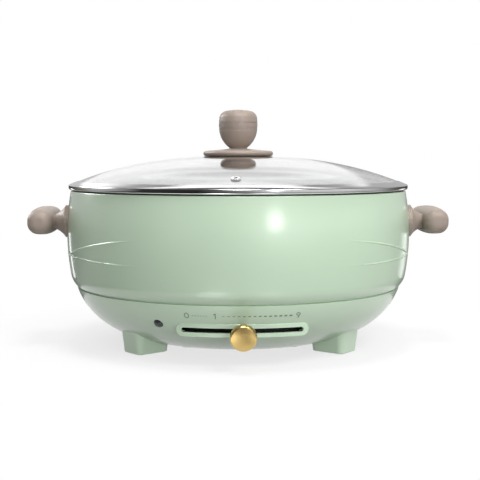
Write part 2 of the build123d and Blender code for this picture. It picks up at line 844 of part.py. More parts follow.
def vent_eyelet(glass):
    """Steel eyelet through the glass."""
    depth = glass_thickness + vent_flange_thickness
    barrel = Pos(0, 0, -depth) * Cylinder(vent_barrel_radius, depth, align=BASE)
    flange_depth = 2 * vent_flange_thickness
    top = Pos(0, 0, -vent_flange_thickness) * Cylinder(vent_flange_radius, flange_depth, align=BASE)
    top = fillet(top.edges().group_by(Axis.Z)[-1], vent_flange_thickness * 0.8)
    low = Pos(0, 0, -depth) * Cylinder(vent_flange_radius, flange_depth, align=BASE)
    body = vent_place() * (barrel + top + low) - glass
    return body - vent_place() * Cylinder(vent_bore_radius, 6 * glass_thickness)


def lid_rim_ring(glass):
    """Rolled steel ring that grips the glass edge, with a skirt that centres the lid in the pot."""
    inner_skirt = ring_skirt_radius - ring_sheet
    skirt_bottom = ring_bottom - ring_skirt_depth
    ring_top = ring_bottom + ring_height - 2 * ring_sheet
    ring_lip_inner = ring_radius - ring_lip_width
    lip_top = glass_surface(ring_lip_inner) + ring_sheet
    shoulder = glass_surface(ring_radius - ring_corner) + ring_sheet
    ring = turn(
        outline(
            (inner_skirt, skirt_bottom),
            (ring_skirt_radius, skirt_bottom),
            (ring_skirt_radius, ring_bottom),
            (ring_radius - ring_sheet, ring_bottom),
            (ring_radius, ring_bottom + ring_sheet),
            (ring_radius, ring_top),
            (ring_radius - ring_corner, shoulder),
            (ring_lip_inner, lip_top),
            (ring_lip_inner, lip_top - 3 * ring_sheet),
            (ring_radius - ring_sheet, ring_bottom + ring_sheet),
            (inner_skirt, ring_bottom + ring_sheet),
        )
    )
    inner_gap = tube(glass_edge_radius + glass_gap, glass_edge_radius - 1, ring_bottom + ring_sheet, glass_edge_top)
    return ring - glass - inner_gap


def knob_collar():
    """Flat disc under the grip, with a full-round edge and a short neck."""
    edge = collar_radius - collar_edge / 2
    side = Line((0, collar_bottom), (edge, collar_bottom))
    side = side + ThreePointArc(
        (edge, collar_bottom), (collar_radius, collar_bottom + collar_edge / 2), (edge, collar_edge_top)
    )
    shoulder = collar_top - collar_shoulder
    side = side + Line((edge, collar_edge_top), (neck_radius + neck_flare, shoulder))
    side = side + ThreePointArc(
        (neck_radius + neck_flare, shoulder),
        (neck_radius + neck_flare / 4, shoulder + collar_shoulder / 3),
        (neck_radius, collar_top),
    )
    side = side + Polyline((neck_radius, collar_top), (0, collar_top), (0, collar_bottom))
    collar = turn(make_face(side))
    collar = collar - disc(collar_recess_radius, collar_bottom - 1, collar_bottom + collar_recess_depth)
    return collar - disc(insert_radius, collar_bottom, collar_top + 1)


def knob_grommet(glass):
    """Silicone grommet that seals the bore above and below the glass."""
    return tube(seal_radius, lid_screw_radius, cup_top, collar_bottom + collar_recess_depth) - glass


def knob_cup():
    """Rounded cup that clamps the glass from below."""
    top = cup_top
    bottom = top - cup_height
    side = Line((0, top), (cup_radius - 1, top))
    side = side + ThreePointArc((cup_radius - 1, top), (cup_radius, top - 1.6), (cup_radius - 0.8, top - 3.4))
    side = side + ThreePointArc(
        (cup_radius - 0.8, top - 3.4), (cup_radius - 2.6, bottom + 0.9), (cup_radius - 6, bottom)
    )
    side = side + Polyline((cup_radius - 6, bottom), (0, bottom), (0, top))
    cup = turn(make_face(side))
    cup = cup - disc(cup_counterbore_radius, bottom - 1, washer_top)
    return cup - disc(lid_screw_radius + screw_clearance, bottom, top + 1)


def knob_washer():
    return tube(washer_radius, lid_screw_radius, washer_top - washer_thickness, washer_top)


def knob_screw():
    seat = washer_top - washer_thickness
    end = collar_top + insert_length
    head = disc(lid_screw_head_radius, seat - lid_screw_head_height, seat)
    head = fillet(head.edges().group_by(Axis.Z)[0], 1.0)
    recess = Box(5.0, 1.1, 2.4) + Box(1.1, 5.0, 2.4)
    head = head - Pos(0, 0, seat - lid_screw_head_height) * recess
    return head + disc(lid_screw_radius, seat, end)


def knob_insert():
    return tube(insert_radius, lid_screw_radius, collar_top - insert_sink, collar_top + insert_length)


def lid_knob():
    """Grip of the lid: a waisted knob with fine grooves and a crowned top."""
    hip = (grip_radius - grip_hip_setback, grip_top - grip_hip_depth)
    shoulder = (grip_radius - grip_shoulder_setback, grip_top - grip_shoulder_depth)
    edge = grip_radius - grip_top_setback
    rim = grip_top - grip_crown
    side = ThreePointArc((neck_radius, collar_top), (grip_radius - grip_flare[0], collar_top + grip_flare[1]), hip)
    side = side + ThreePointArc(hip, (grip_radius, (hip[1] + shoulder[1]) / 2), shoulder)
    side = side + ThreePointArc(shoulder, (grip_radius - grip_bend[0], shoulder[1] + grip_bend[1]), (edge, rim))
    side = side + ThreePointArc((edge, rim), (edge / 2, grip_top - grip_crown / 4), (crown_flat, grip_top))
    side = side + Polyline((crown_flat, grip_top), (0, grip_top), (0, collar_top), (neck_radius, collar_top))
    grip = turn(make_face(side))
    for depth in grip_groove_depths:
        level = grip_top - depth
        half = grip_groove_width / 2
        grip = grip - tube(grip_radius + 1, grip_radius - grip_groove_depth, level - half, level + half)
    return grip - disc(insert_radius, collar_top - 1, collar_top + insert_length + insert_room)


# ---------------------------------------------------------------- handles


def grip_section(along, size):
    """Rounded square across the grip at a distance along it."""
    place = Plane(origin=(handle_grip_axis, along, handle_height), x_dir=(1, 0, 0), z_dir=(0, 1, 0))
    return place * RectangleRounded(size, size, size * grip_corner_share)


def handle():
    """Barrel grip of rounded square section on two flared legs, drawn on the +X side."""
    middle = grip_section(0, grip_size)
    near = grip_section(-grip_half_length, grip_end_size)
    far = grip_section(grip_half_length, grip_end_size)
    grip = loft([near, middle, far])
    ends = [grip.faces().sort_by(Axis.Y)[index].edges() for index in (0, -1)]
    grip = fillet(ends[0] + ends[1], grip_end_round)
    neck_end = handle_grip_axis - grip_size / 4
    bend_out, bend_radius = handle_flare_bend
    inside = handle_flare_start - handle_root
    legs = []
    for offset in (-handle_leg_spacing / 2, handle_leg_spacing / 2):
        curve = ThreePointArc(
            (handle_flare_start, handle_flare_radius),
            (handle_flare_start + bend_out, bend_radius),
            (neck_end, handle_neck_radius),
        )
        curve = curve + Polyline(
            (neck_end, handle_neck_radius), (neck_end, 0), (inside, 0), (inside, handle_flare_radius),
            (handle_flare_start, handle_flare_radius),
        )
        legs.append(Pos(0, offset, handle_height) * revolve(make_face(curve), axis=Axis.X))
    body = grip + legs[0] + legs[1]
    body = body - turn(upper_face(0, body_top))
    for offset in (-handle_leg_spacing / 2, handle_leg_spacing / 2):
        hole = Plane.YZ.offset(inside) * Circle(handle_screw_radius)
        depth = handle_boss_face + handle_screw_length - inside
        body = body - Pos(0, offset, handle_height) * extrude(hole, depth)
    return body


def handle_screws():
    """Pan-head screws from inside the shell into the handle legs."""
    screws = []
    for side in (0, 180):
        for offset in (-handle_leg_spacing / 2, handle_leg_spacing / 2):
            shank = Plane.YZ.offset(handle_boss_face) * Circle(handle_screw_radius)
            head = Plane.YZ.offset(handle_boss_face - handle_screw_head) * Circle(2 * handle_screw_radius)
            screw = extrude(shank, handle_screw_length) + extrude(head, handle_screw_head)
            screws.append(at_azimuth(side, Pos(0, offset, handle_height) * screw))
    return joined(screws)


# ---------------------------------------------------------------- control


def thermostat_body():
    """Ceramic thermostat with its bush and two tabs."""
    body = disc(thermostat_radius, thermostat_bottom, thermostat_top)
    body = fillet(body.edges().group_by(Axis.Z)[0], thermostat_round)
    body = body + disc(bush_radius, thermostat_bottom - bush_height, thermostat_bottom + 1)
    bore_top = thermostat_bottom - bush_height + spindle_insertion + spindle_end_play
    body = body - disc(spindle_radius + spindle_clearance, thermostat_bottom - bush_height - 1, bore_top)
    for way in (-1, 1):
        reach = thermostat_radius + tab_reach - tab_size[1] / 2
        body = body + Pos(way * tab_spacing / 2, reach, thermostat_bottom + tab_height) * Box(*tab_size)
    return body


def thermostat_bracket():
    """Strap that presses the thermostat to the pot."""
    top = thermostat_top + bracket_thickness
    strap = Pos(0, 0, thermostat_top) * extrude(RectangleRounded(bracket_length, bracket_width, bracket_corner), bracket_thickness)
    for side in (-1, 1):
        strap = strap - Pos(side * bracket_screw_offset, 0, 0) * disc(
            bracket_screw_radius + screw_clearance, thermostat_top - 1, top + 1
        )
    return strap


def bracket_screws():
    screw = disc(bracket_screw_radius, thermostat_top, pot_underside - 0.5)
    screw = screw + disc(bracket_screw_radius * 1.8, thermostat_top - bracket_screw_head, thermostat_top)
    return joined([Pos(side * bracket_screw_offset, 0, 0) * screw for side in (-1, 1)])


def thermostat_spindle():
    top = thermostat_bottom - bush_height + spindle_insertion
    spindle = disc(spindle_radius, spindle_bottom, top)
    groove = tube(spindle_radius + 1, groove_radius, hub_bottom - clip_thickness, hub_bottom)
    return spindle - groove


def stem_place():
    """Location of the stem where it crosses the pad's face, with local +X along the stem."""
    return Rot(0, 0, FRONT) * Pos(pad_face_radius, 0, slot_height) * Rot(0, stem_tilt, 0)


def stem_blank():
    inner = -(shutter_setback + pocket_clearance)
    outer = knob_standoff + knob_socket_depth
    blank = Pos((inner + outer) / 2, 0, 0) * Box(outer - inner, stem_width, stem_thickness)
    return stem_place() * blank


def slider_lever():
    """Lever from the spindle to the slot, with its tab bent out as the stem of the knob."""
    arm_end = shutter_radius - shutter_thickness - lever_clearance
    root, tip = lever_width / 2, lever_tip_width / 2
    arm = extrude(
        outline((0, -root), (arm_end, -tip), (arm_end, tip), (0, root)),
        lever_thickness,
    )
    arm = at_azimuth(FRONT, Pos(0, 0, lever_top - lever_thickness) * arm)
    lever = disc(hub_radius, hub_bottom, lever_top) + arm + stem_blank()
    return lever - disc(spindle_radius, hub_bottom - 1, lever_top + 1)


def lever_clip():
    """Open retaining clip in the spindle's groove."""
    clip = tube(clip_radius, groove_radius, hub_bottom - clip_thickness, hub_bottom)
    mouth = Pos(clip_radius, 0, hub_bottom) * Box(2 * clip_radius, 1.7 * groove_radius, 3)
    return clip - mouth


def slot_shutter():
    """Black strip that keeps the slot closed wherever the slider stands."""
    bottom = slot_height + shutter_rise - shutter_width / 2
    top = bottom + shutter_width
    strip = tube(shutter_radius, shutter_radius - shutter_thickness, bottom, top)
    strip = strip & sector(shutter_radius + 4, shutter_half_angle, bottom - 1, top + 1)
    return at_azimuth(FRONT, strip) - stem_blank()


def slider_knob():
    """Brass button with a shallow crowned face, pushed onto the stem."""
    back = knob_standoff
    front = back + knob_thickness
    face_radius = knob_radius - knob_edge_round
    start = knob_boss_gap
    profile = Polyline((start, 0), (start, knob_boss_radius), (back, knob_boss_radius))
    profile = profile + Line((back, knob_boss_radius), (back, knob_radius - knob_back_round))
    profile = profile + corner_arc(
        (back, knob_radius - knob_back_round),
        (back + knob_back_round, knob_radius),
        (back + knob_back_round, knob_radius - knob_back_round),
    )
    profile = profile + Line((back + knob_back_round, knob_radius), (front - knob_edge_round, knob_radius))
    profile = profile + corner_arc(
        (front - knob_edge_round, knob_radius),
        (front, face_radius),
        (front - knob_edge_round, face_radius),
    )
    profile = profile + ThreePointArc(
        (front, face_radius), (front + knob_crown * 0.75, face_radius / 2), (front + knob_crown, crown_flat)
    )
    profile = profile + Polyline((front + knob_crown, crown_flat), (front + knob_crown, 0), (start, 0))
    return stem_place() * revolve(make_face(profile), axis=Axis.X) - stem_blank()


def thermal_fuse():
    lay = Plane.YZ.offset(-fuse_length / 2) * Circle(fuse_radius)
    return Pos(0, -fuse_offset, pot_underside - fuse_radius) * extrude(lay, fuse_length)


def fuse_strap():
    """Saddle that holds the fuse to the pot's underside."""
    middle = pot_underside - fuse_radius
    reach = fuse_radius + strap_thickness
    wrap = Pos(0, -fuse_offset, middle) * extrude(Plane.YZ.offset(-strap_width / 2) * Circle(reach), strap_width)
    sides = Pos(0, -fuse_offset, middle) * Box(strap_width, 2 * reach, fuse_radius, align=BASE)
    flanges = Pos(0, -fuse_offset, pot_underside - strap_thickness) * Box(
        strap_width, 2 * reach + strap_width, strap_thickness, align=BASE
    )
    seat = Pos(0, -fuse_offset, middle) * Box(2 * strap_width, 2 * fuse_radius, 2 * fuse_radius, align=BASE)
    above = Pos(0, -fuse_offset, pot_underside) * Box(fuse_length, fuse_length, 2 * fuse_radius, align=BASE)
    return wrap + sides + flanges - seat - thermal_fuse() - above


def terminal_block():
    """Ceramic block under the shield, where the leads meet."""
    width, depth, height = terminal_block_size
    place = Pos(0, stud_circle + terminal_block_offset, shield_bottom - height)
    block = place * Box(width, depth, height, align=BASE)
    for offset in (-terminal_pitch, 0, terminal_pitch):
        block = block - place * Pos(offset, 0, 0) * Cylinder(terminal_bore_radius, height)
    return block


# ---------------------------------------------------------------- power inlet


def inlet_block(size, start, end, grow=0.0):
    """Rounded block along +Y at the inlet's place."""
    plan = Plane.YZ.offset(start) * RectangleRounded(size[0] + 2 * grow, size[1] + 2 * grow, inlet_corner)
    return at_azimuth(BACK, Pos(0, 0, inlet_height) * extrude(plan, end - start))


def power_inlet():
    """Recessed appliance inlet with its bezel."""
    bezel = inlet_block(inlet_flange_size, inlet_face - inlet_flange_depth, inlet_face) - turn(upper_face(0, body_top))
    rim = bezel.faces().sort_by(Axis.Y)[-1].edges()
    bezel = fillet(rim, inlet_flange_round)
    body = inlet_block(inlet_body_size, inlet_inner, inlet_face - inlet_body_setback)
    recess = inlet_block(inlet_recess_size, inlet_face - inlet_recess_depth, inlet_face + 1)
    return bezel + body - recess - inlet_pins()


def inlet_pins():
    """Three flat pins with solder tabs behind."""
    tip = inlet_face - inlet_mouth_depth
    tail = inlet_inner - inlet_tab_length
    pins = []
    half = inlet_pin_pitch / 2
    for across, up in ((-half, -inlet_pin_lift), (half, -inlet_pin_lift), (0, inlet_pin_lift)):
        plan = Plane.YZ.offset(tail) * Rectangle(*inlet_pin_size)
        pins.append(at_azimuth(BACK, Pos(0, across, inlet_height + up) * extrude(plan, tip - tail)))
    return joined(pins)


# ---------------------------------------------------------------- build


def build():
    glass = lid_glass()
    right_handle = handle()
    return {
        "lid_glass": glass,
        "lid_rim_ring": lid_rim_ring(glass),
        "vent_eyelet": vent_eyelet(glass),
        "lid_knob": lid_knob(),
        "knob_collar": knob_collar(),
        "knob_grommet": knob_grommet(glass),
        "knob_cup": knob_cup(),
        "knob_washer": knob_washer(),
        "knob_screw": knob_screw(),
        "knob_insert": knob_insert(),
        "inner_pot": inner_pot(),
        "pot_gasket": pot_gasket(),
        "upper_shell": upper_shell(),
        "lower_shell": lower_shell(),
        "foot_pads": foot_pads(),
        "base_plate": base_plate(),
        "base_screws": base_screws(),
        "heating_element": heating_element(),
        "heat_shield": heat_shield(),
        "pot_studs": pot_studs(),
        "stud_nuts": stud_nuts(),
        "shield_nuts": shield_nuts(),
        "thermostat_body": thermostat_body(),
        "thermostat_bracket": thermostat_bracket(),
        "bracket_screws": bracket_screws(),
        "thermostat_spindle": thermostat_spindle(),
        "slider_lever": slider_lever(),
        "lever_clip": lever_clip(),
        "slot_shutter": slot_shutter(),
        "slider_knob": slider_knob(),
        "thermal_fuse": thermal_fuse(),
        "fuse_strap": fuse_strap(),
        "terminal_block": terminal_block(),
        "indicator_lens": indicator_lens(),
        "indicator_lamp": indicator_lamp(),
        "power_inlet": power_inlet(),
        "inlet_pins": inlet_pins(),
        "left_handle": mirror(right_handle, Plane.YZ),
        "right_handle": right_handle,
        "handle_screws": handle_screws(),
    }


os.makedirs("parts", exist_ok=True)
for name, shape in build().items():
    export_step(shape, f"parts/{name}.step")
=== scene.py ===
"""Looks of the electric hot pot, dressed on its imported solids. Metres, +Z up, front along -Y."""
from math import atan2, cos, degrees, pi, radians, sin, sqrt

import bpy
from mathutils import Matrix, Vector


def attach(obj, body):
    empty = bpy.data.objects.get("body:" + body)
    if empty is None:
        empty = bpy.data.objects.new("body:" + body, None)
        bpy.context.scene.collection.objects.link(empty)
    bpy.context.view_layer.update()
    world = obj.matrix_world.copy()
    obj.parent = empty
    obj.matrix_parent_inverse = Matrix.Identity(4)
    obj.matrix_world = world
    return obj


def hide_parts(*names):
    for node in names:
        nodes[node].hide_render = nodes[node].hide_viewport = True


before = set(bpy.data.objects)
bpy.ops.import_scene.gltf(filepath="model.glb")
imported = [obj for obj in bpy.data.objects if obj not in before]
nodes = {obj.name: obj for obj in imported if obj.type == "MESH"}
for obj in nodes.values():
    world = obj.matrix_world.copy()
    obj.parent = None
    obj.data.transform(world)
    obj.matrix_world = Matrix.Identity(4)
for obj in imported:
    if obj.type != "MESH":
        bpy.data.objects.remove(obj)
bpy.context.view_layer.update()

MM = 0.001
WHITE = (1, 1, 1, 1)

# ---------------------------------------------------------------- the object's own measures, in mm

# lower shell: a quarter ellipse turned about the pot's axis
BOWL_CENTRE_RADIUS = 80.8
BOWL_CENTRE_HEIGHT = 75.0
BOWL_HALF_WIDTH = 81.8
BOWL_HALF_HEIGHT = 68.9

# face of the slot pad, and the tilt of the slider knob's stem in degrees
PAD_FACE_RADIUS = 151.16
SLOT_HEIGHT = 33.8
STEM_TILT = 8.0

# glass dome
GLASS_TOP = 184.1
GLASS_EDGE_TOP = 155.8
GLASS_EDGE_RADIUS = 166.2
GLASS_THICKNESS = 3.8
DOME_DROP = GLASS_TOP - GLASS_EDGE_TOP
DOME_FULLNESS = 2.5                         # 2 is a plain bowl, higher is flatter in the middle

# rim ring
RING_RADIUS = 167.0
RING_BOTTOM = 151.4
RING_TOP = RING_BOTTOM + 5.8
RING_SHEET = 0.6
RING_LIP_INNER = 158.6
RING_SKIRT_RADIUS = 149.7
RING_SKIRT_BOTTOM = 146.5

# ---------------------------------------------------------------- shader nodes

SOCKETS = {1: "NodeSocketFloat", 3: "NodeSocketVector", 4: "NodeSocketColor"}
EFFECT_OUTPUTS = (("Colour", 4), ("Roughness", 1), ("Height", 1))


def add(tree, kind, links=None, **settings):
    """New node with its settings, its plain socket values and its incoming links."""
    node = tree.nodes.new("ShaderNode" + kind)
    for key, value in settings.items():
        setattr(node, key, value)
    for socket, value in (links or {}).items():
        target = node.inputs[socket]
        if isinstance(value, bpy.types.NodeSocket):
            tree.links.new(value, target)
        else:
            target.default_value = value
    return node


def maths(tree, kind, first, second=0.0):
    return add(tree, "Math", {0: first, 1: second}, operation=kind).outputs[0]


def vectors(tree, kind, first, second=(0, 0, 0), result="Vector"):
    return add(tree, "VectorMath", {0: first, 1: second}, operation=kind).outputs[result]


def scaled(tree, vector, factor):
    links = {"Vector": vector, "Scale": factor}
    return add(tree, "VectorMath", links, operation="SCALE").outputs["Vector"]


def centred(tree, value):
    """Value of 0 to 1 carried to run evenly about nought."""
    return maths(tree, "SUBTRACT", value, 0.5)


def carried(tree, value, start, end, low, high):
    """Value that runs from start to end carried to run from low to high."""
    links = {"Value": value, "From Min": start, "From Max": end, "To Min": low, "To Max": high}
    return add(tree, "MapRange", links).outputs["Result"]


def object_place(tree):
    return add(tree, "TexCoord").outputs["Object"]


def noise(tree, vector, scale, detail, roughness=0.5):
    links = {"Vector": vector, "Scale": scale, "Detail": detail, "Roughness": roughness}
    return add(tree, "TexNoise", links).outputs["Fac"]


def toned(tree, colour, value):
    """Colour made lighter or darker."""
    return add(tree, "HueSaturation", {"Color": colour, "Value": value}).outputs["Color"]


def effect_group(name, inputs):
    """New surface effect. Each input has its default: a number, a vector or a colour."""
    tree = bpy.data.node_groups.new(name, "ShaderNodeTree")
    for socket, default in inputs.items():
        size = len(default) if isinstance(default, tuple) else 1
        made = tree.interface.new_socket(socket, in_out="INPUT", socket_type=SOCKETS[size])
        made.default_value = default
    for socket, size in EFFECT_OUTPUTS:
        tree.interface.new_socket(socket, in_out="OUTPUT", socket_type=SOCKETS[size])
    return tree, tree.nodes.new("NodeGroupInput").outputs


def put_out(tree, entry, colour, drift, height):
    """Ends an effect: its colour, its height, and a roughness that drifts about the one given."""
    haze = maths(tree, "MULTIPLY", centred(tree, drift), entry["Roughness Spread"])
    roughness = maths(tree, "ADD", haze, entry["Roughness"])
    leave = tree.nodes.new("NodeGroupOutput").inputs
    for (socket, size), value in zip(EFFECT_OUTPUTS, (colour, roughness, height)):
        tree.links.new(value, leave[socket])
    return tree


FLOW_SCALE = 9.0                            # slow drift of a moulding's colour
HAZE_SCALE = 34.0                           # and of its polish


def moulded_skin():
    """Fine spark grain, faint flow mottle and dust-soft roughness of a moulded plastic."""
    tree, entry = effect_group("Moulded Skin", {
        "Colour": (0.5, 0.5, 0.5, 1),
        "Mottle": 0.02,
        "Grain Scale": 1500.0,
        "Roughness": 0.4,
        "Roughness Spread": 0.05,
    })
    place = object_place(tree)
    flow = centred(tree, noise(tree, place, FLOW_SCALE, 3.0))
    lift = maths(tree, "ADD", maths(tree, "MULTIPLY", flow, entry["Mottle"]), 1.0)
    haze = noise(tree, place, HAZE_SCALE, 4.0)
    grain = noise(tree, place, entry["Grain Scale"], 1.0)
    return put_out(tree, entry, toned(tree, entry["Colour"], lift), haze, grain)


POLISH_SCALE = 60.0                         # drift of a turned part's polish and tone
RIDGE_SHARE = 0.6                           # of the lathe lines in its roughness
POLISH_SHARE = 0.4
POLISH_TONES = (0.94, 1.05)                 # darkest and lightest of its tone


def turned_metal():
    """Fine lathe lines round an axis, with a drifting polish."""
    tree, entry = effect_group("Turned Metal", {
        "Colour": (0.6, 0.6, 0.6, 1),
        "Centre": (0, 0, 0),
        "Axis": (0, 0, 1),
        "Line Density": 4000.0,
        "Roughness": 0.2,
        "Roughness Spread": 0.08,
    })
    place = object_place(tree)
    arm = vectors(tree, "SUBTRACT", place, entry["Centre"])
    across = vectors(tree, "CROSS_PRODUCT", arm, entry["Axis"])
    radius = vectors(tree, "LENGTH", across, result="Value")
    along_axis = vectors(tree, "DOT_PRODUCT", arm, entry["Axis"], "Value")
    lines = add(tree, "CombineXYZ", {"X": radius, "Y": along_axis}).outputs[0]
    ridges = noise(tree, lines, entry["Line Density"], 2.0, 0.6)
    polish = noise(tree, place, POLISH_SCALE, 3.0)
    drift = maths(
        tree,
        "ADD",
        maths(tree, "MULTIPLY", ridges, RIDGE_SHARE),
        maths(tree, "MULTIPLY", polish, POLISH_SHARE),
    )
    colour = toned(tree, entry["Colour"], carried(tree, polish, 0.0, 1.0, *POLISH_TONES))
    return put_out(tree, entry, colour, drift, ridges)


CASTING_SCALE = 420.0                       # coarse grain of a casting
FLECK_REACH = 0.45                          # of a fleck, from the middle of its cell


def cast_skin():
    """Coarse matt surface of a sprayed coating or a fired body, with fine flecks."""
    tree, entry = effect_group("Cast Skin", {
        "Colour": (0.3, 0.3, 0.3, 1),
        "Fleck Colour": (0.6, 0.6, 0.6, 1),
        "Fleck Share": 0.05,
        "Fleck Scale": 900.0,
        "Roughness": 0.5,
        "Roughness Spread": 0.1,
    })
    place = object_place(tree)
    cells = add(tree, "TexVoronoi", {"Vector": place, "Scale": entry["Fleck Scale"]}).outputs
    seed = add(tree, "SeparateColor", {"Color": cells["Color"]}).outputs[0]
    chosen = maths(tree, "LESS_THAN", seed, entry["Fleck Share"])
    near = maths(tree, "LESS_THAN", cells["Distance"], FLECK_REACH)
    flecks = {
        "Factor": maths(tree, "MULTIPLY", chosen, near),
        6: entry["Colour"],
        7: entry["Fleck Colour"],
    }
    colour = add(tree, "Mix", flecks, data_type="RGBA").outputs[2]
    grain = noise(tree, place, CASTING_SCALE, 4.0, 0.6)
    return put_out(tree, entry, colour, grain, grain)


SKIN = moulded_skin()
LATHE = turned_metal()
CAST = cast_skin()

# ---------------------------------------------------------------- materials

BUMP_REACH = 0.0002
FLECK_SCALE = 900.0
CASTING_SPREAD = 0.15                       # of a casting's roughness


def material(name, effect, values, bump, settings):
    """Principled material fed by one effect, with the plain values on its own sockets."""
    made = bpy.data.materials.new(name)
    made.use_nodes = True
    tree = made.node_tree
    tree.nodes.clear()
    leave = tree.nodes.new("ShaderNodeOutputMaterial")
    body = tree.nodes.new("ShaderNodeBsdfPrincipled")
    surface = tree.nodes.new("ShaderNodeGroup")
    surface.node_tree = effect
    for socket, value in values.items():
        surface.inputs[socket].default_value = value
    for socket, value in settings.items():
        body.inputs[socket].default_value = value
    tree.links.new(surface.outputs["Colour"], body.inputs["Base Color"])
    tree.links.new(surface.outputs["Roughness"], body.inputs["Roughness"])
    relief = {"Height": surface.outputs["Height"], "Strength": bump, "Distance": BUMP_REACH}
    tree.links.new(add(tree, "Bump", relief).outputs["Normal"], body.inputs["Normal"])
    tree.links.new(body.outputs["BSDF"], leave.inputs["Surface"])
    return made


def plastic(
    name, colour, roughness, grain=1500.0, bump=0.1, mottle=0.03, spread=0.06, **settings
):
    values = {
        "Colour": (*colour, 1),
        "Mottle": mottle,
        "Grain Scale": grain,
        "Roughness": roughness,
        "Roughness Spread": spread,
    }
    return material(name, SKIN, values, bump, settings)


def metal(
    name, colour, roughness, centre=(0, 0, 0), axis=(0, 0, 1), density=4000.0, bump=0.05, spread=0.1
):
    values = {
        "Colour": (*colour, 1),
        "Centre": centre,
        "Axis": axis,
        "Line Density": density,
        "Roughness": roughness,
        "Roughness Spread": spread,
    }
    return material(name, LATHE, values, bump, {"Metallic": 1.0})


def cast(name, colour, fleck, share, roughness, bump=0.2):
    values = {
        "Colour": (*colour, 1),
        "Fleck Colour": (*fleck, 1),
        "Fleck Share": share,
        "Fleck Scale": FLECK_SCALE,
        "Roughness": roughness,
        "Roughness Spread": CASTING_SPREAD,
    }
    return material(name, CAST, values, bump, {})


stem_lean = radians(STEM_TILT)
stem_axis = (0.0, -cos(stem_lean), -sin(stem_lean))
stem_centre = (0.0, -PAD_FACE_RADIUS * MM, SLOT_HEIGHT * MM)

green = plastic(
    "Green Gloss Shell", (0.545, 0.695, 0.525), 0.30, grain=900.0, bump=0.02, mottle=0.02,
    **{"Coat Weight": 0.6, "Coat Roughness": 0.07},
)
taupe = plastic(
    "Taupe Satin Grip", (0.335, 0.272, 0.232), 0.46, grain=2200.0, bump=0.12, mottle=0.05
)
black = plastic("Black Matt Moulding", (0.012, 0.012, 0.012), 0.5, grain=1800.0, bump=0.15)
shutter_black = plastic("Shutter Black", (0.004, 0.004, 0.004), 0.6, grain=1800.0)
smoked = plastic(
    "Smoked Lens", (0.03, 0.034, 0.034), 0.12, grain=400.0, bump=0.0, spread=0.02
)
feet_rubber = plastic("Foot Rubber", (0.12, 0.115, 0.11), 0.75, grain=1300.0, bump=0.3)
silicone = plastic("Seal Silicone", (0.62, 0.62, 0.6), 0.55, grain=1200.0, bump=0.15)
scale_ink = plastic("Scale Ink", (0.20, 0.245, 0.19), 0.5, grain=2600.0)
glass = plastic(
    "Tempered Glass", (0.995, 1.0, 0.998), 0.012, grain=60.0, bump=0.0, mottle=0.01, spread=0.006,
    **{"Transmission Weight": 1.0, "IOR": 1.5},
)
rim_steel = metal(
    "Rim Steel", (0.78, 0.78, 0.79), 0.08, density=2600.0, bump=0.01, spread=0.03
)
eyelet_steel = metal(
    "Eyelet Steel", (0.92, 0.92, 0.92), 0.62, density=2600.0, bump=0.02, spread=0.05
)
plain_steel = metal("Plated Steel", (0.58, 0.58, 0.57), 0.32, density=3000.0)
brass = metal(
    "Satin Brass", (0.62, 0.445, 0.172), 0.30, stem_centre, stem_axis, density=3800.0, bump=0.06
)
insert_brass = metal("Insert Brass", (0.60, 0.44, 0.19), 0.34)
shield_sheet = metal("Shield Sheet", (0.72, 0.72, 0.72), 0.26, density=900.0)
non_stick = cast("Non-stick Coating", (0.022, 0.022, 0.023), (0.12, 0.12, 0.12), 0.10, 0.42)
ceramic = cast("Fired Ceramic", (0.80, 0.78, 0.72), (0.7, 0.66, 0.58), 0.03, 0.35, bump=0.08)

FINISHES = (
    (green, "upper_shell lower_shell base_plate"),
    (taupe, "lid_knob knob_collar knob_cup left_handle right_handle"),
    (black, "indicator_lamp power_inlet"),
    (shutter_black, "slot_shutter"),
    (smoked, "indicator_lens"),
    (feet_rubber, "foot_pads"),
    (silicone, "knob_grommet pot_gasket"),
    (glass, "lid_glass"),
    (rim_steel, "lid_rim_ring"),
    (eyelet_steel, "vent_eyelet"),
    (plain_steel, "knob_washer knob_screw thermostat_spindle slider_lever lever_clip"),
    (plain_steel, "base_screws bracket_screws handle_screws pot_studs stud_nuts shield_nuts"),
    (plain_steel, "heating_element thermostat_bracket thermal_fuse fuse_strap"),
    (brass, "slider_knob"),
    (insert_brass, "knob_insert inlet_pins"),
    (shield_sheet, "heat_shield"),
    (non_stick, "inner_pot"),
    (ceramic, "thermostat_body terminal_block"),
)
for finish, names in FINISHES:
    for name in names.split():
        for place in nodes[name].material_slots:
            place.material = finish
nodes["lid_glass"].visible_shadow = False

# ---------------------------------------------------------------- glass dome


def glass_height(radius):
    """Height of the glass dome's upper face at a radius, in mm."""
    share = (radius / GLASS_EDGE_RADIUS) ** DOME_FULLNESS
    return GLASS_TOP - DOME_DROP * share


